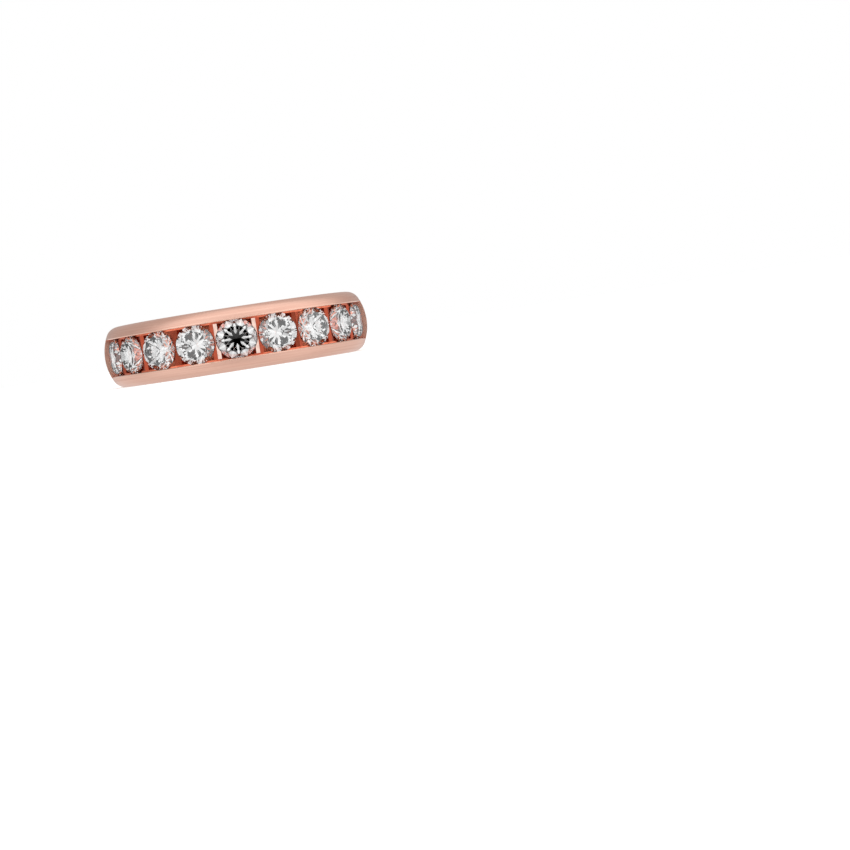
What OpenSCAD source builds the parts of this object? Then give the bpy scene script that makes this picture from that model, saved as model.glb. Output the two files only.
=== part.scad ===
// Rose gold wedding band with a channel of nine round brilliants across its front half.
// The ring's axis is Z, the origin is the centre of the finger bore, and the middle stone faces -Y.
// All lengths are in millimetres and all angles in degrees.

/* [Band] */
// Diameter of the finger bore
bore_d = 16.5; // [15:0.1:22]
// Wall at the crest of the dome, measured from the bore
band_t = 2.5; // [2.4:0.05:3.5]
// Width of the band along the ring's axis
band_w = 4.9; // [4.5:0.05:7]
// Radius of the dome across the outside of the band
dome_r = 4.22; // [4:0.02:9]
// Radius of the shoulders between the dome and the flat sides
shoulder_r = 1.07; // [0.6:0.01:1.2]
// Radius of the eased edges of the bore
bore_edge_r = 0.3; // [0.1:0.05:0.6]

/* [Stones] */
// Number of stones in the row
stone_count = 9; // [3:2:11]
// Diameter of a stone at its girdle
stone_d = 3.1; // [2.6:0.05:3.2]
// Width of a stone's table, from corner to corner
table_d = 2.02; // [1.6:0.02:2.2]
// Angle of the crown's main facets
crown_angle = 35.3; // [32:0.1:37]
// Angle of the pavilion's main facets
pavilion_angle = 43.2; // [40:0.1:44]
// Height of the girdle at the main facets
girdle_t = 0.06; // [0.04:0.01:0.14]
// Reach of the star facets, as a share of the way from the table to the girdle
star_share = 0.39; // [0.35:0.01:0.6]
// Reach of the lower girdle facets, as a share of the way from the girdle to the culet
lower_share = 0.76; // [0.7:0.01:0.85]
// Gap between neighbouring girdles
stone_gap = 0.18; // [0.1:0.01:0.4]
// Depth of the tables below the rims of the rails
table_drop = 0.08; // [0.05:0.01:0.2]

/* [Channel] */
// Reach of each rail's rim over the girdles
rail_grip = 0.075; // [0.05:0.005:0.15]
// Bright-cut bevel along the rim of each rail
rim_cut = 0.1; // [0.04:0.01:0.15]
// Width of the ledge under the girdles, along the foot of each rail
ledge_w = 0.12; // [0.06:0.01:0.2]
// Depth of the ledge below the girdles
ledge_drop = 0.1; // [0.05:0.01:0.3]
// Thickness of the floor strip under the culets
floor_t = 0.45; // [0.3:0.05:0.6]
// Diameter of the holes under the culets
culet_hole_d = 1.2; // [1:0.05:1.6]
// Thickness of a bridge bar along the row
bar_w = 0.6; // [0.4:0.05:1]
// Width of a bar's tip at its waist, between the two stones
bar_tip_w = 0.06; // [0.04:0.01:0.12]
// Slope of the two flats on top of a bar, down from its ridge towards the stones
tip_slope = 20; // [8:1:26]
// Clearance between a stone and its seat
seat_gap = 0.02; // [0.01:0.005:0.04]
// Gap between the last girdle of the row and the end wall
end_gap = 0.1; // [0.05:0.01:0.3]

/* [Hidden] */
$fn = 180;
// Overlap of a cut past the faces that it opens
past = 1;

// Band section: the dome runs tangent into the shoulders, and the shoulders into the flat sides
bore_r = bore_d / 2;
crest_r = bore_r + band_t;
half_w = band_w / 2;
dome_x = crest_r - dome_r;
shoulder_z = half_w - shoulder_r;
shoulder_x = dome_x + sqrt((dome_r - shoulder_r) ^ 2 - shoulder_z ^ 2);
shoulder_a = atan2(shoulder_z, shoulder_x - dome_x);
tangent_x = dome_x + dome_r * cos(shoulder_a);
tangent_z = dome_r * sin(shoulder_a);

// Channel opening and the rim of its rails
opening = stone_d / 2 - rail_grip;
foot = opening - ledge_w;
rim_r = dome_x + sqrt(dome_r ^ 2 - opening ^ 2);

// Rings of a stone's facet corners: radius about the stone's axis, and height above its girdle's upper edge
facet_step = 45;
facet_half = facet_step / 2;
stone_r = stone_d / 2;
table_h = (stone_r - table_d / 2) * tan(crown_angle);
table_side = table_d / 2 * cos(facet_half);
star_r = table_side + star_share * (stone_r - table_side);
star_h = (stone_r - star_r * cos(facet_half)) * tan(crown_angle);
lower_r = stone_r * (1 - lower_share);
lower_h = -girdle_t - (stone_r - lower_r * cos(facet_half)) * tan(pavilion_angle);
culet_h = -girdle_t - stone_r * tan(pavilion_angle);
crown_rise = star_h / (stone_r - star_r);
pavilion_rise = (-girdle_t - lower_h) / (stone_r - lower_r);

// Heights of a seated stone's girdle above the ring's axis
girdle_z = rim_r - table_drop - table_h;
girdle_low_z = girdle_z - girdle_t;

// Angles of the row around the ring's axis, counted from the front
girdle_reach = norm([girdle_low_z, stone_r]);
girdle_a = atan2(stone_r, girdle_low_z);
half_pitch = girdle_a + asin(stone_gap / 2 / girdle_reach);
end_a = (stone_count - 1) * half_pitch + girdle_a + asin(end_gap / girdle_reach);

// Levels of the metal under the stones
floor_r = bore_r + floor_t;
ledge_r = girdle_low_z - ledge_drop;

// A bar's tip ends where the seats of its two stones leave the waist between them
seat_r = stone_r + seat_gap;
seat_z = girdle_low_z - seat_gap;
waist_lean = (sin(half_pitch) + pavilion_rise * cos(half_pitch)) * bar_tip_w / 2;
waist_fall = cos(half_pitch) - pavilion_rise * sin(half_pitch);
waist_z = (seat_z - seat_r * pavilion_rise - waist_lean) / waist_fall;
ridge_z = waist_z + bar_tip_w / 2 * tan(tip_slope);

gold = "#d9aa97";
deep_gold = "#c5764f";
diamond_white = "#eef2f4";

// Angle of stone i, and half a pitch further on the bar after it
function stone_a(i) = (2 * i - stone_count - 1) * half_pitch;
function bar_a(i) = stone_a(i) + half_pitch;

// A point of a stone, from its radius and bearing about the stone's axis and its height
function facet_point(r, a, z) = [r * cos(a), r * sin(a), z];

// Turns a shape built outward along +Z into place at an angle around the ring
module at_angle(a) {
    rotate([90, 0, a]) children();
}

// Sweeps a section around the ring's axis, from one angle to another
module sweep(from, to) {
    rotate([0, 0, from - 90]) rotate_extrude(angle = to - from) children();
}

// Quarter or part of a disc, between two bearings less than 180 apart
module pie(r, from, to) {
    middle = (from + to) / 2;
    far = 2 * r;
    intersection() {
        circle(r);
        polygon([
            [0, 0],
            far * [cos(from), sin(from)],
            far * [cos(middle), sin(middle)],
            far * [cos(to), sin(to)]
        ]);
    }
}

// Rounded corners of the band section on its +Z side
module section_corners() {
    translate([shoulder_x, shoulder_z]) pie(shoulder_r, shoulder_a, 90);
    translate([bore_r + bore_edge_r, half_w - bore_edge_r]) pie(bore_edge_r, 90, 180);
}

// Section through the plain band, with X outward from the ring's axis and Y along it
module band_section() {
    upper = [
        [tangent_x, tangent_z],
        [shoulder_x, shoulder_z],
        [shoulder_x, half_w],
        [bore_r + bore_edge_r, half_w],
        [bore_r + bore_edge_r, half_w - bore_edge_r],
        [bore_r, half_w - bore_edge_r]
    ];
    lower = [for (k = [len(upper) - 1 : -1 : 0]) [upper[k].x, -upper[k].y]];
    polygon(concat(upper, lower));
    intersection() {
        translate([dome_x, 0]) circle(dome_r);
        translate([tangent_x, -half_w]) square([dome_r, band_w]);
    }
    section_corners();
    mirror([0, 1]) section_corners();
}

// Section through the upper rail: the band's side, down to the channel wall, its rim bevel and its ledge
module rail_section() {
    bevel_end = crest_r + past - rim_r;
    intersection() {
        band_section();
        polygon([
            [bore_r - past, foot],
            [ledge_r, foot],
            [ledge_r, opening],
            [rim_r - rim_cut, opening],
            [rim_r + bevel_end, opening + rim_cut + bevel_end],
            [bore_r - past, half_w + past]
        ]);
    }
}

// Seat of one stone in the rails: its outline swept round, with clearance, and open above the crown
module rail_seat() {
    rotate_extrude() polygon([
        [0, girdle_z + culet_h - seat_gap],
        [lower_r + seat_gap, girdle_z + lower_h - seat_gap],
        [seat_r, seat_z],
        [seat_r, girdle_z + seat_gap],
        [star_r + seat_gap, girdle_z + star_h + seat_gap],
        [star_r + seat_gap, crest_r + past],
        [0, crest_r + past]
    ]);
}

// Seat of one stone in the bars: the pavilion's cone with clearance, carried on up past the girdle
module bar_seat() {
    rotate_extrude() polygon([
        [0, girdle_z + culet_h - seat_gap],
        [lower_r + seat_gap, girdle_z + lower_h - seat_gap],
        [seat_r + past, seat_z + past * pavilion_rise],
        [seat_r + past, crest_r + past],
        [0, crest_r + past]
    ]);
}

// Round brilliant: table, stars, bezels and upper girdles over a round girdle, lower girdles and mains.
// Its origin is on its axis, level with the upper edge of its girdle.
module brilliant() {
    count = 360 / facet_step;
    last = count - 1;
    // Each girdle facet cuts a shallow scallop, of this many steps, into the round girdle
    steps = 4;
    around = 2 * count * steps;
    scallop = facet_half / 2;
    function scallop_dip(k) =
        stone_r * (cos((k % steps) * facet_half / steps - scallop) / cos(scallop) - 1);
    // Place in the list of points where each ring of points starts
    star = count;
    upper = 2 * count;
    low = upper + around;
    lower = low + around;
    culet = lower + count;
    points = concat(
        [for (k = [0 : last]) facet_point(table_d / 2, k * facet_step, table_h)],
        [for (k = [0 : last]) facet_point(star_r, k * facet_step + facet_half, star_h)],
        [for (k = [0 : around - 1]) facet_point(stone_r, k * 360 / around, -scallop_dip(k) * crown_rise)],
        [
            for (k = [0 : around - 1])
                facet_point(stone_r, k * 360 / around, scallop_dip(k) * pavilion_rise - girdle_t)
        ],
        [for (k = [0 : last]) facet_point(lower_r, k * facet_step + facet_half, lower_h)],
        [[0, 0, culet_h]]
    );
    table = [for (k = [last : -1 : 0]) k];
    mains = [
        for (k = [0 : last])
            let (next = (k + 1) % count, before = (k + last) % count, corner = 2 * k * steps)
            each [
                [next, star + k, k],
                [star + k, upper + corner, star + before, k],
                [culet, lower + before, low + corner, lower + k]
            ]
    ];
    halves = [
        for (k = [0 : 2 * count - 1])
            let (side = floor(k / 2), run = [for (j = [0 : steps]) (k * steps + j) % around])
            each [
                concat([star + side], [for (j = [steps : -1 : 0]) upper + run[j]]),
                concat([for (j = run) low + j], [lower + side])
            ]
    ];
    girdle = [
        for (k = [0 : around - 1])
            let (next = (k + 1) % around)
            [upper + k, upper + next, low + next, low + k]
    ];
    polyhedron(points, concat([table], mains, halves, girdle));
}

// Plain rear of the band, whose two flat ends close the channel
module shank() {
    color(gold) sweep(end_a, 360 - end_a) band_section();
}

// Front rail on the +Z side, with a groove for every girdle
module upper_rail() {
    color(gold) difference() {
        sweep(-end_a, end_a) rail_section();
        for (i = [1 : stone_count]) at_angle(stone_a(i)) rail_seat();
    }
}

// Front rail on the -Z side
module lower_rail() {
    mirror([0, 0, 1]) upper_rail();
}

// Strip between the feet of the rails, with a hole under every culet
module channel_floor() {
    color(deep_gold) difference() {
        sweep(-end_a, end_a) translate([bore_r, -foot]) square([floor_t, 2 * foot]);
        for (i = [1 : stone_count]) at_angle(stone_a(i)) cylinder(d = culet_hole_d, h = crest_r);
    }
}

// Cross bar between stones i and i + 1: two flats slope from its ridge down to the stones' seats
module bridge_bar(i) {
    reach = bar_w / 2;
    reach_z = ridge_z - reach * tan(tip_slope);
    outline = [
        [-reach, bore_r],
        [reach, bore_r],
        [reach, reach_z],
        [0, ridge_z],
        [-reach, reach_z]
    ];
    color(deep_gold) at_angle(bar_a(i)) difference() {
        rotate([90, 0, 0]) linear_extrude(2 * foot, center = true) polygon(outline);
        rotate([90, 0, 0]) cylinder(r = floor_r, h = band_w, center = true);
        rotate([0, -half_pitch, 0]) bar_seat();
        rotate([0, half_pitch, 0]) bar_seat();
    }
}

// Stone i of the row, turned so that its main facets lie to either side of the ring's axis
module diamond(i) {
    color(diamond_white) at_angle(stone_a(i)) translate([0, 0, girdle_z]) rotate(facet_half) brilliant();
}

shank();
upper_rail();
lower_rail();
channel_floor();
for (i = [1 : stone_count - 1]) bridge_bar(i);
for (i = [1 : stone_count]) diamond(i);
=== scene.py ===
# %% [markdown]
# # A channel-set wedding band in rose gold
# The object is a wide wedding band. Its back half is plain, and its front half is a channel that
# holds nine round brilliants between two rails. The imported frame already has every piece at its
# real size. This script gives the pieces their finishes, makes cleaner meshes of the shank and the
# rails, and sets up the camera, the floor and the light.

# %% Load the frame and keep its box
import math

import bmesh
import bpy
from mathutils import Matrix, Vector


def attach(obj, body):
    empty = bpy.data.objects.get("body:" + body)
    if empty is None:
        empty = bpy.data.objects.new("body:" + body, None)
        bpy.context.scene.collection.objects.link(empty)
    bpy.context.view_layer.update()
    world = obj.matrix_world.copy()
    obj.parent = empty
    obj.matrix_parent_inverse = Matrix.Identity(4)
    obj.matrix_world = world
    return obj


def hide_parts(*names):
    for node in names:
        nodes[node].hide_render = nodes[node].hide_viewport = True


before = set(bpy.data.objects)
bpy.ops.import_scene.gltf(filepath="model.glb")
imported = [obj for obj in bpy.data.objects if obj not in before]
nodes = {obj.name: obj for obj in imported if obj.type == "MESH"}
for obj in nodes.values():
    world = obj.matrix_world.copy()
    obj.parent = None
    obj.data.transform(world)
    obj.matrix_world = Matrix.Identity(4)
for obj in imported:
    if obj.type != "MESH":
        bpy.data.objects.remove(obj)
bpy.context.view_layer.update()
print("pieces in the frame:", len(nodes))

# %% [markdown]
# The ring's axis is Z, and its middle stone faces -Y. The finishes below follow the metal around
# the ring, so the script first reads the few radii, heights and angles that they need. They come
# from the pieces themselves, which keeps the finishes in place if the ring is made in another size.

# %% Read the band's own sizes
MM = 0.001
rim_depth = 0.3 * MM
shank = nodes["shank"].data.vertices
rail = nodes["upper_rail"].data.vertices


def radius_of(point):
    return math.hypot(point.x, point.y)


bore_r = min(radius_of(v.co) for v in shank)
crest_r = max(radius_of(v.co) for v in shank)
half_width = max(v.co.z for v in shank)
rim_r = max(radius_of(v.co) for v in rail)
channel_half = min(v.co.z for v in rail if radius_of(v.co) > rim_r - rim_depth)
# The cosine of the angle between the middle stone and the end of the channel
end_front = max(-v.co.y / radius_of(v.co) for v in shank)
end_angle = math.acos(end_front)
print("bore", bore_r / MM, "crest", crest_r / MM, "half width", half_width / MM)
print("half the channel", channel_half / MM, "channel ends at", math.degrees(end_angle))

# %% [markdown]
# The camera that fits the photograph looks straight at the middle stone from 155 mm away, with the
# ring rolled a little and set in the upper left of the picture. A camera that is turned away from
# its subject puts it off the middle of the picture. Lens shift would do that too, but it would also
# push the ring out of the frame in every other view, so the camera is turned.

# %% Set up the camera
picture_px = 850
ring_px = Vector((236.7, 339.3))
camera_distance = 155.4 * MM
camera_elevation = math.radians(-0.34)
camera_roll = math.radians(9.0)
lens_mm = 80.0
sensor_mm = 36.0

camera_data = bpy.data.cameras.new("photo_camera")
camera_data.lens = lens_mm
camera_data.sensor_width = sensor_mm
camera_data.clip_start = 1 * MM
camera = bpy.data.objects.new("photo_camera", camera_data)
bpy.context.scene.collection.objects.link(camera)
bpy.context.scene.camera = camera

view = Vector((0, -math.cos(camera_elevation), math.sin(camera_elevation)))
level = (-view).to_track_quat("-Z", "Y").to_matrix()
rolled = level @ Matrix.Rotation(-camera_roll, 3, "Z")
focal_px = lens_mm / sensor_mm * picture_px
offset = (ring_px - Vector((picture_px / 2, picture_px / 2))) / focal_px
aside = Vector((offset.x, -offset.y, -1))
turned = rolled @ aside.rotation_difference(Vector((0, 0, -1))).to_matrix()
camera.matrix_world = Matrix.Translation(view * camera_distance) @ turned.to_4x4()
print("camera at", [round(c / MM, 1) for c in camera.location], "mm")

# %% [markdown]
# Every material below is a small tree of nodes. One helper adds a node, sets it and links it, and
# another turns the hex colour that a person reads off a picture into the linear numbers that
# a shader works in. An input is named or counted, and only the sockets that the node's settings
# leave in use are counted. A node that is given as an input is linked by its first output.

# %% Helpers for nodes and colours


def add(tree, kind, inputs=(), **settings):
    made = tree.nodes.new(kind)
    for name, value in settings.items():
        setattr(made, name, value)
    in_use = [s for s in made.inputs if s.enabled]
    sockets = {s.name: s for s in reversed(in_use)} | dict(enumerate(in_use))
    for key, value in dict(inputs).items():
        if isinstance(value, bpy.types.Node):
            value = next(s for s in value.outputs if s.enabled)
        if isinstance(value, bpy.types.NodeSocket):
            tree.links.new(value, sockets[key])
        else:
            sockets[key].default_value = value
    return made


def linear(hex_colour):
    parts = [int(hex_colour[i : i + 2], 16) / 255 for i in (1, 3, 5)]
    return tuple(c / 12.92 if c <= 0.04045 else ((c + 0.055) / 1.055) ** 2.4 for c in parts) + (1,)


def new_material(name):
    material = bpy.data.materials.new(name)
    material.use_nodes = True
    material.node_tree.nodes.clear()
    return material, material.node_tree


white = linear("#FFFFFF")
print("mid grey as linear light:", linear("#808080")[0])

# %% [markdown]
# A finish on a ring depends on where the metal is: the bore is buffed, the outside is brushed, and
# the inside of the channel is left as cast and gets a painted red reflection of its own walls. So
# every material starts by reading a point's place on the ring: how far it is from the axis and from
# the mid plane, how far forward it lies, and whether its surface looks outwards or along the ring.
# The last three are cosines.
# The masks that follow are Map Range nodes. Most of them fade from 0 to 1 over a few hundredths of
# a millimetre of such a measurement.

# %% A point's place on the ring


def ring_place(tree):
    there = add(tree, "ShaderNodeTexCoord").outputs
    point, normal = there["Object"], there["Normal"]
    flat = add(tree, "ShaderNodeVectorMath", {0: point, 1: (1, 1, 0)}, operation="MULTIPLY")
    heading = add(tree, "ShaderNodeVectorMath", {0: flat}, operation="NORMALIZE")
    along = add(
        tree,
        "ShaderNodeVectorMath",
        {0: (0, 0, 1), 1: heading},
        operation="CROSS_PRODUCT",
    )
    height = add(tree, "ShaderNodeSeparateXYZ", {0: point}).outputs["Z"]
    place = {
        "point": point,
        "heading": heading,
        "along": along,
        "radius": add(tree, "ShaderNodeVectorMath", {0: flat}, operation="LENGTH"),
        "aside": add(tree, "ShaderNodeMath", {0: height}, operation="ABSOLUTE"),
    }
    for name, one, other in (
        ("front", heading, (0, -1, 0)),
        ("facing", normal, heading),
        ("end_on", normal, along),
    ):
        place[name] = add(tree, "ShaderNodeVectorMath", {0: one, 1: other}, operation="DOT_PRODUCT")
    place["end_on"] = add(tree, "ShaderNodeMath", {0: place["end_on"]}, operation="ABSOLUTE")
    return place


edge = 0.02 * MM
print("the edges of the masks are soft over", edge / MM, "mm")

# %% [markdown]
# The outside of the band is satin: a fine abrasive wheel has drawn hair lines along it. The lines
# are a noise that is stretched along the ring and squeezed across it, so a line is several
# millimetres long and less than a tenth wide. A four-dimensional noise takes the radius as its
# fourth number, so that the lines also follow the flat sides. They drive a small bump, the
# roughness and the tone. Such lines spread a reflection across them more than along them, which is
# what the anisotropy does.

# %% Brushed lines

# The lines are drawn about twice as wide as a fine wheel's, so that one line is about a pixel wide
line_spacing = 0.075 * MM
line_length = 6 * MM


def brushed_lines(tree, place):
    upright = add(
        tree,
        "ShaderNodeVectorMath",
        {0: place["point"], 1: (0, 0, 1 / line_spacing)},
        operation="MULTIPLY",
    )
    around = add(
        tree,
        "ShaderNodeVectorMath",
        {0: place["heading"], "Scale": crest_r / line_length},
        operation="SCALE",
    )
    where = add(tree, "ShaderNodeVectorMath", {0: around, 1: upright}, operation="ADD")
    depth = add(
        tree,
        "ShaderNodeMath",
        {0: place["radius"], 1: 1 / line_spacing},
        operation="MULTIPLY",
    )
    return add(
        tree,
        "ShaderNodeTexNoise",
        {"Vector": where, "W": depth, "Scale": 1.0, "Detail": 3.0, "Roughness": 0.65},
        noise_dimensions="4D",
    )


print("lines across the band:", round(2 * half_width / line_spacing))

# %% [markdown]
# The shank and the rails have three surfaces of one metal: the satin skin, the buffed bore and
# rims, and the walls of the channel as they were cast, with a painted red reflection on them. One
# material can hold all three if masks say which one a point is on. The rims and the walls are only
# there along the row of stones, so those masks are multiplied by the mask of the row.

# %% Zones of the shank and the rails

buffed_r = bore_r + 0.36 * MM
rim_half = channel_half + 0.095 * MM
row_start = end_front + 0.002
row_full = end_front + 0.004


def band_zones(tree, place):
    zones = {}
    # Zone, what is measured, where it is 0, where it is 1
    for zone, measured, start, end in (
        ("bore", place["radius"], buffed_r + edge, buffed_r),
        ("skin", place["radius"], buffed_r, buffed_r + edge),
        ("rims", place["aside"], rim_half + edge, rim_half),
        ("walls", place["aside"], channel_half + edge, channel_half + edge / 2),
        ("row", place["front"], row_start, row_full),
        ("end walls", place["end_on"], 0.7, 0.8),
    ):
        zones[zone] = add(
            tree,
            "ShaderNodeMapRange",
            enumerate((measured, start, end)),
            interpolation_type="SMOOTHSTEP",
        )
    for zone, one, other, way in (
        ("row rims", "rims", "row", "MULTIPLY"),
        ("buffed", "bore", "row rims", "MAXIMUM"),
        ("row walls", "walls", "row", "MULTIPLY"),
        ("cast, painted red", "row walls", "skin", "MULTIPLY"),
    ):
        zones[zone] = add(tree, "ShaderNodeMath", {0: zones[one], 1: zones[other]}, operation=way)
    return zones


print("buffed out to", buffed_r / MM, "mm, rims out to", rim_half / MM, "mm")

# %% [markdown]
# Rose gold is gold with a good deal of copper. Metals tint what they mirror, so its colour is the
# base colour of a fully metallic surface, and the eye judges it by what surrounds the ring. Where
# light goes to and fro between two walls, as it does in the channel, every mirroring multiplies the
# colour again. That redness is painted into the base colour of the channel walls as a painted
# reflection, so they are much redder than the skin. The end walls were filed, which leaves them
# rougher.

# %% Satin rose gold for the shank and the rails

satin_tone = linear("#F3C6B3")
satin_groove = linear("#EABAA7")
buffed_tone = linear("#F7CAB6")
# Painted reflection: the red that the channel's walls would mirror into each other
channel_painted_red = linear("#FA9472")
felt_marks = 0.4 * MM
line_depth = 0.006 * MM


def satin_rose_gold():
    # Soft, wide highlights with hair lines on the outside, mirrors in the bore and on the rims, and
    # a painted red reflection on the channel walls
    material, tree = new_material("satin_rose_gold")
    place = ring_place(tree)
    zones = band_zones(tree, place)
    lines = brushed_lines(tree, place)
    marks = add(
        tree,
        "ShaderNodeTexNoise",
        {"Vector": place["point"], "Scale": 1 / felt_marks, "Detail": 4.0, "Roughness": 0.6},
    )
    levels = {}
    # Level, what it follows, from and to which value of that, and what it is there
    for level, followed, start, end, low, high in (
        ("line tops", lines, 0.35, 0.62, 0.0, 1.0),
        ("brushed", lines, 0.3, 0.7, 0.44, 0.36),
        ("filed", zones["end walls"], 0.0, 1.0, 0.0, 0.25),
        ("buffed", marks, 0.35, 0.65, 0.095, 0.125),
        ("cast, painted red", marks, 0.3, 0.7, 0.2, 0.4),
        ("relief", zones["buffed"], 0.0, 1.0, 0.4, 0.03),
    ):
        levels[level] = add(
            tree,
            "ShaderNodeMapRange",
            enumerate((followed, start, end, low, high)),
            interpolation_type="SMOOTHSTEP",
        )
    # The channel walls get the painted red reflection on top of the satin tones
    tone = satin_groove
    for share, colour in (
        (levels["line tops"], satin_tone),
        (zones["buffed"], buffed_tone),
        (zones["cast, painted red"], channel_painted_red),
    ):
        mixed = {"Factor": share, "A": tone, "B": colour}
        tone = add(tree, "ShaderNodeMix", mixed, data_type="RGBA")
    rough = add(tree, "ShaderNodeMath", {0: levels["brushed"], 1: levels["filed"]}, operation="ADD")
    for zone in ("buffed", "cast, painted red"):
        mixed = {"Factor": zones[zone], "A": rough, "B": levels[zone]}
        rough = add(tree, "ShaderNodeMix", mixed)
    bump = add(
        tree,
        "ShaderNodeBump",
        {"Height": lines, "Strength": levels["relief"], "Distance": line_depth},
    )
    shader = add(
        tree,
        "ShaderNodeBsdfPrincipled",
        {
            "Base Color": tone,
            "Metallic": 1.0,
            "Roughness": rough,
            "Anisotropic": 0.5,
            "Anisotropic Rotation": 0.25,
            "Tangent": place["along"],
            "Normal": bump,
        },
    )
    add(tree, "ShaderNodeOutputMaterial", {"Surface": shader})
    return material


satin = satin_rose_gold()
print("nodes in the satin gold:", len(satin.node_tree.nodes))

# %% [markdown]
# The bars and the floor strip inside the channel are polished before the stones go in. The bars'
# sloping tops are cut bright with a graver, which leaves flat mirrors, and the walls below get the
# same painted red reflection as the channel. The flats beside the middle stone face the light, and
# a painted highlight makes them almost white; the others get a painted reflection of the red of the
# next bar. The strip's inner face is part of the bore, so it takes the same buffed tone as the
# band.

# %% Polished rose gold for the bars and the floor strip

# Painted highlight for the flats beside the middle stone, and a painted red reflection of the next
# bar for the other flats
flat_painted_highlight = linear("#FBD9CB")
flat_painted_red = linear("#BC5840")
flat_r = crest_r - 1.5 * MM
flat_fade = 0.1 * MM
wheel_marks = 0.25 * MM
mark_depth = 0.004 * MM
ridge = sum((v.co for v in nodes["bridge_bar_5"].data.vertices), Vector()).normalized()
ridge_front = -ridge.y
ridge_fade = 0.0005


def polished_rose_gold():
    # Crisp mirror with painted red reflections, a painted highlight on the flats beside the middle
    # stone, and the faint marks of a felt wheel
    material, tree = new_material("polished_rose_gold")
    place = ring_place(tree)
    marks = add(
        tree,
        "ShaderNodeTexNoise",
        {"Vector": place["point"], "Scale": 1 / wheel_marks, "Detail": 4.0, "Roughness": 0.6},
    )
    zones = {}
    # Zone or roughness, what it follows, from and to which value of that, and what it is there
    for zone, followed, start, end, low, high in (
        ("outward", place["facing"], 0.8, 0.88, 0.0, 1.0),
        ("high", place["radius"], flat_r - flat_fade, flat_r, 0.0, 1.0),
        ("bore", place["radius"], bore_r + 2 * edge, bore_r + edge, 0.0, 1.0),
        ("beside middle", place["front"], ridge_front, ridge_front + ridge_fade, 0.0, 1.0),
        ("cast rough", marks, 0.3, 0.7, 0.2, 0.4),
        ("cut rough", marks, 0.3, 0.7, 0.06, 0.14),
    ):
        zones[zone] = add(
            tree,
            "ShaderNodeMapRange",
            enumerate((followed, start, end, low, high)),
            interpolation_type="SMOOTHSTEP",
        )
    for zone, one, other, way in (
        ("flats", "outward", "high", "MULTIPLY"),
        ("flats with painted highlight", "flats", "beside middle", "MULTIPLY"),
        ("bright", "flats with painted highlight", "bore", "MAXIMUM"),
    ):
        zones[zone] = add(tree, "ShaderNodeMath", {0: zones[one], 1: zones[other]}, operation=way)
    # The bar walls keep the channel's painted red reflection, the outward flats get a painted red
    # reflection of the next bar, and the flats beside the middle stone get a painted highlight
    tone = channel_painted_red
    for zone, colour in (("flats", flat_painted_red), ("flats with painted highlight", flat_painted_highlight), ("bore", buffed_tone)):
        mixed = {"Factor": zones[zone], "A": tone, "B": colour}
        tone = add(tree, "ShaderNodeMix", mixed, data_type="RGBA")
    mixed = {"Factor": zones["bright"], "A": zones["cast rough"], "B": zones["cut rough"]}
    rough = add(tree, "ShaderNodeMix", mixed)
    bump = add(tree, "ShaderNodeBump", {"Height": marks, "Strength": 0.1, "Distance": mark_depth})
    shader = add(
        tree,
        "ShaderNodeBsdfPrincipled",
        {"Base Color": tone, "Metallic": 1.0, "Roughness": rough, "Normal": bump},
    )
    add(tree, "ShaderNodeOutputMaterial", {"Surface": shader})
    return material


polished = polished_rose_gold()
print("nodes in the polished gold:", len(polished.node_tree.nodes))

# %% [markdown]
# A diamond's refractive index is 2.417, more than that of most other clear stones. Light that
# enters its crown meets the pavilion too flat to leave, so it is thrown back through the crown, and
# each facet shows another part of the studio. The facets are polished flat. The girdle is left as
# the bruting lathe leaves it, finely frosted, so it stays white and keeps the stones apart from
# the metal. Its surface runs along the stone's own axis, so it doesn't look outwards from the ring.

# %% Cut diamond

diamond_ior = 2.417
frost_grain = 0.03 * MM


def cut_diamond():
    # Black and white facets with sharp edges, and a thin frosted line around the girdle
    material, tree = new_material("cut_diamond")
    place = ring_place(tree)
    upright = add(tree, "ShaderNodeMath", {0: place["facing"]}, operation="ABSOLUTE")
    grain = add(
        tree,
        "ShaderNodeTexNoise",
        {"Vector": place["point"], "Scale": 1 / frost_grain, "Detail": 4.0, "Roughness": 0.6},
    )
    girdle = add(
        tree,
        "ShaderNodeMapRange",
        {"Value": upright, "From Min": 0.34, "From Max": 0.3},
        interpolation_type="SMOOTHSTEP",
    )
    frost = add(
        tree,
        "ShaderNodeMapRange",
        {"Value": grain, "From Min": 0.3, "From Max": 0.7, "To Min": 0.25, "To Max": 0.5},
        interpolation_type="SMOOTHSTEP",
    )
    rough = add(tree, "ShaderNodeMath", {0: girdle, 1: frost}, operation="MULTIPLY")
    shader = add(
        tree,
        "ShaderNodeBsdfPrincipled",
        {"Base Color": white, "Roughness": rough, "IOR": diamond_ior, "Transmission Weight": 1.0},
    )
    add(tree, "ShaderNodeOutputMaterial", {"Surface": shader})
    return material


diamond = cut_diamond()
print("nodes in the diamond:", len(diamond.node_tree.nodes))

# %% [markdown]
# The shank is a bar of one section that is bent round. In the frame, its eased edges are long thin
# triangles, and a buffed edge shows them as a saw tooth. A mirror needs even faces, so the shank is
# made again from its own section. The end wall is taken from a copy of the frame's mesh and made
# one face, and its long edges are divided.

# %% Take the shank's section from its end wall

section_step = 0.1 * MM
weld = 0.001 * MM
in_plane = 0.002 * MM
end_normal = Vector((-end_front, -math.sin(end_angle), 0))

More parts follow.
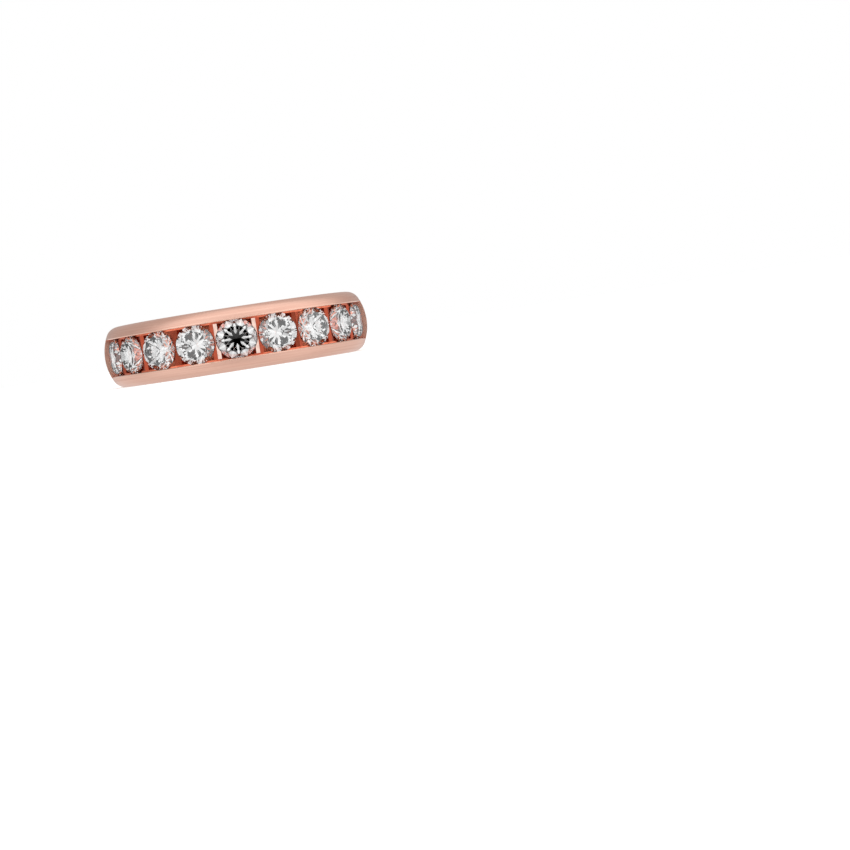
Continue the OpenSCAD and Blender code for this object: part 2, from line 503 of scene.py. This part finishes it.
bar = bmesh.new()
bar.from_mesh(nodes["shank"].data)
bmesh.ops.remove_doubles(bar, verts=bar.verts, dist=weld)
others = [f for f in bar.faces if any(abs(v.co.dot(end_normal)) > in_plane for v in f.verts)]
bmesh.ops.delete(bar, geom=others, context="FACES")
bmesh.ops.dissolve_faces(bar, faces=bar.faces[:])
for side in bar.edges[:]:
    cuts = int(side.calc_length() / section_step)
    if cuts:
        bmesh.ops.subdivide_edges(bar, edges=[side], cuts=cuts)
print("points of the section:", len(bar.verts), "faces:", len(bar.faces))

# %% [markdown]
# Spin carries the section round the axis to the other end, as a ring is bent on a mandrel. It can
# turn a shape inside out, so the normals are worked out again. The new shank takes the place of
# the frame's own.

# %% Spin the section into the shank

spin_steps = 168
crease = math.radians(40)

bmesh.ops.spin(
    bar,
    geom=bar.verts[:] + bar.edges[:] + bar.faces[:],
    cent=(0, 0, 0),
    axis=(0, 0, 1),
    angle=2 * (math.pi - end_angle),
    steps=spin_steps,
)
bmesh.ops.recalc_face_normals(bar, faces=bar.faces)
open_edges = sum(not side.is_manifold for side in bar.edges)


def by_points(face):
    first, second, third = sorted(v.index for v in face.verts)[:3]
    return (first * len(bar.verts) + second) * len(bar.verts) + third


# Spin makes the faces in another order each time, so they are put in the order of their points
bar.verts.index_update()
bar.faces.sort(key=by_points)

shank_mesh = bpy.data.meshes.new("plain_shank")
bar.to_mesh(shank_mesh)
bar.free()
shank_mesh.shade_smooth()
shank_mesh.set_sharp_from_angle(angle=crease)
plain_shank = bpy.data.objects.new("plain_shank", shank_mesh)
bpy.context.scene.collection.objects.link(plain_shank)
plain_shank.data.materials.append(satin)
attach(plain_shank, "root")
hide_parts("shank")
print("faces of the shank:", len(shank_mesh.polygons), "open edges:", open_edges)

# %% [markdown]
# The frame's rails hide a slit in the metal, thinner than a thousandth of a millimetre, where two
# parts of their section meet. Nobody can see into it, but its walls would be stray faces in an
# exported mesh. So each rail is copied, and the copy's points are merged, which makes one sheet of
# the two walls. The sheet is peeled off from its free edge inwards, until no face has a free edge.
# Merging would lose the exact normals of the frame's mesh, so an attribute carries them over.

# %% Take the hidden slit out of the rails

most_peeled = 0.1

for name in ("upper_rail", "lower_rail"):
    rail_mesh = nodes[name].data.copy()
    rail_mesh.name = "satin_" + name
    exact = rail_mesh.attributes.new("exact_normal", "FLOAT_VECTOR", "CORNER")
    for kept, corner in zip(exact.data, rail_mesh.corner_normals):
        kept.vector = corner.vector
    skin = bmesh.new()
    skin.from_mesh(rail_mesh)
    bmesh.ops.remove_doubles(skin, verts=skin.verts, dist=weld)
    peeled = 0
    while peeled < most_peeled * len(nodes[name].data.polygons):
        sheet = {face for side in skin.edges if side.is_boundary for face in side.link_faces}
        if not sheet:
            break
        peeled += len(sheet)
        bmesh.ops.delete(skin, geom=list(sheet), context="FACES")
    else:
        # So much can't be the slit alone, so the frame's own rail stays
        skin.free()
        continue
    skin.to_mesh(rail_mesh)
    skin.free()
    exact = rail_mesh.attributes["exact_normal"]
    rail_mesh.normals_split_custom_set([kept.vector[:] for kept in exact.data])
    rail_mesh.attributes.remove(rail_mesh.attributes["exact_normal"])
    rail_mesh.materials.clear()
    rail_mesh.materials.append(satin)
    satin_rail = bpy.data.objects.new("satin_" + name, rail_mesh)
    bpy.context.scene.collection.objects.link(satin_rail)
    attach(satin_rail, "root")
    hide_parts(name)
    print(name, "faces peeled off", peeled, "faces left", len(rail_mesh.polygons))

# %% [markdown]
# The other pieces keep the frame's meshes, and only the material in their slots changes. A piece's
# name says what it is, so a short table of how names begin gives each one its finish. What isn't
# in the table is the band itself, which is satin.

# %% Give every piece its finish

finishes = {"diamond": diamond, "bridge_bar": polished, "channel_floor": polished}
for name, piece in nodes.items():
    finish = satin
    for start, special in finishes.items():
        if name.startswith(start):
            finish = special
    for slot in piece.material_slots:
        slot.material = finish
print("finished pieces:", len(nodes))

# %% [markdown]
# The ring lies on its side on white paper, as it does on a jeweller's table. The paper is a little
# brighter to the camera than the studio's light makes it, so it stays white and still takes the
# ring's shadow. Rays that the metal or a stone sends out go through the paper to the studio beyond
# it, because a stone that sees the table through its pavilion loses half of its pattern.

# %% Paper floor

paper_half = 2.0
paper_fibre = 0.3 * MM
paper_lift = 0.36

floor_mesh = bpy.data.meshes.new("floor")
table = bmesh.new()
bmesh.ops.create_grid(table, x_segments=1, y_segments=1, size=paper_half)
bmesh.ops.translate(table, vec=(0, 0, -half_width), verts=table.verts)
table.to_mesh(floor_mesh)
table.free()
floor = bpy.data.objects.new("floor", floor_mesh)
bpy.context.scene.collection.objects.link(floor)


def white_paper():
    # Even, matt white
    material, tree = new_material("white_paper")
    rays = add(tree, "ShaderNodeLightPath").outputs
    there = add(tree, "ShaderNodeTexCoord").outputs["Object"]
    fibre = add(
        tree,
        "ShaderNodeTexNoise",
        {"Vector": there, "Scale": 1 / paper_fibre, "Detail": 3.0},
    )
    tone = add(
        tree,
        "ShaderNodeMix",
        {"Factor": fibre, "A": linear("#F6F6F6"), "B": linear("#FAFAFA")},
        data_type="RGBA",
    )
    matt = add(tree, "ShaderNodeBsdfDiffuse", {"Color": tone})
    lift = add(
        tree,
        "ShaderNodeMath",
        {0: rays["Is Camera Ray"], 1: paper_lift},
        operation="MULTIPLY",
    )
    glow = add(tree, "ShaderNodeEmission", {"Color": white, "Strength": lift})
    lit = add(tree, "ShaderNodeAddShader", {0: matt, 1: glow})
    clear = add(tree, "ShaderNodeBsdfTransparent")
    mirrored = add(
        tree,
        "ShaderNodeMath",
        {0: rays["Is Glossy Ray"], 1: rays["Is Transmission Ray"]},
        operation="MAXIMUM",
    )
    seen = add(tree, "ShaderNodeMixShader", {0: mirrored, 1: lit, 2: clear})
    add(tree, "ShaderNodeOutputMaterial", {"Surface": seen})
    return material


floor.data.materials.append(white_paper())
print("floor at", -half_width / MM, "mm")

# %% [markdown]
# Jewellery is photographed in a white tent, because polished metal shows everything around it. The
# lens looks in through a dark hole, and that hole is what the black facets of a brilliant show. The
# seams of the tent give the grey ones. A world shader can draw such a tent out of the direction of
# a ray alone. The hole and the seams are rings around the lens, so a colour ramp draws them from
# the angle between the ray and the lens.

# %% Rings of the white tent

# Degrees away from the lens, and how bright the tent is there
tent_rings = (
    (0, 0.0),
    (17.8, 0.0),
    (18.8, 0.2),
    (20, 1.0),
    (25, 1.0),
    (27, 0.7),
    (29.5, 0.7),
    (32, 1.0),
    (37, 1.0),
    (42, 0.7),
    (50, 0.7),
    (55, 1.0),
    (85, 1.0),
    (100, 0.85),
    (180, 0.85),
)

world = bpy.data.worlds.new("white_tent")
bpy.context.scene.world = world
world.use_nodes = True
tree = world.node_tree
tree.nodes.clear()
direction = add(tree, "ShaderNodeTexCoord").outputs["Generated"]
front = add(tree, "ShaderNodeVectorMath", {0: direction, 1: (0, -1, 0)}, operation="DOT_PRODUCT")
away = add(tree, "ShaderNodeMath", {0: front}, operation="ARCCOSINE")
turn = add(tree, "ShaderNodeMath", {0: away, 1: 1 / math.pi}, operation="MULTIPLY")
rings = add(tree, "ShaderNodeValToRGB", {0: turn})
stops = rings.color_ramp.elements
stops.remove(stops[1])
for degrees, level_there in tent_rings:
    stop = stops[0] if degrees == 0 else stops.new(degrees / 180)
    stop.position = degrees / 180
    stop.color = (level_there, level_there, level_there, 1)
print("rings in the tent:", len(stops))

# %% [markdown]
# The lamps stand above the tent and make its roof brighter than its base. Its back is open and dim,
# a little to the left, which shades that end of the band. The opening is a product of masks: it
# lies behind the ring, above the table and below the lamps. The camera itself sees plain white.

# %% Roof, base and open back of the tent

roof_light = 1.25
base_light = 0.96
back_light = 0.52
back_turn = math.radians(19)
back_way = (-math.sin(back_turn), math.cos(back_turn), 0)

height = add(tree, "ShaderNodeSeparateXYZ", {0: direction}).outputs["Z"]
behind = add(tree, "ShaderNodeVectorMath", {0: direction, 1: back_way}, operation="DOT_PRODUCT")
tent_zones = {}
# Zone, what it follows, from and to which value of that, and what it is there
for zone, followed, start, end, low, high in (
    ("roof", height, -0.6, 0.6, base_light, roof_light),
    ("above the table", height, -0.25, 0.05, 0.0, 1.0),
    ("below the lamps", height, 1.0, 0.85, 0.0, 1.0),
    ("behind", behind, -0.1, 0.25, 0.0, 1.0),
):
    tent_zones[zone] = add(
        tree,
        "ShaderNodeMapRange",
        enumerate((followed, start, end, low, high)),
        interpolation_type="SMOOTHSTEP",
    )
opening = tent_zones["behind"]
for zone in ("above the table", "below the lamps"):
    opening = add(tree, "ShaderNodeMath", {0: opening, 1: tent_zones[zone]}, operation="MULTIPLY")
back = add(
    tree,
    "ShaderNodeMapRange",
    enumerate((opening, 0.0, 1.0, 1.0, back_light)),
    interpolation_type="SMOOTHSTEP",
)
tent = rings
for part in (tent_zones["roof"], back):
    tent = add(tree, "ShaderNodeMath", {0: tent, 1: part}, operation="MULTIPLY")
rays = add(tree, "ShaderNodeLightPath").outputs
strength = add(tree, "ShaderNodeMix", {"Factor": rays["Is Camera Ray"], "A": tent, "B": 1.0})
light = add(tree, "ShaderNodeBackground", {"Color": white, "Strength": strength})
add(tree, "ShaderNodeOutputWorld", {"Surface": light})

bpy.context.scene.view_settings.view_transform = "Standard"
print("nodes in the tent:", len(tree.nodes))
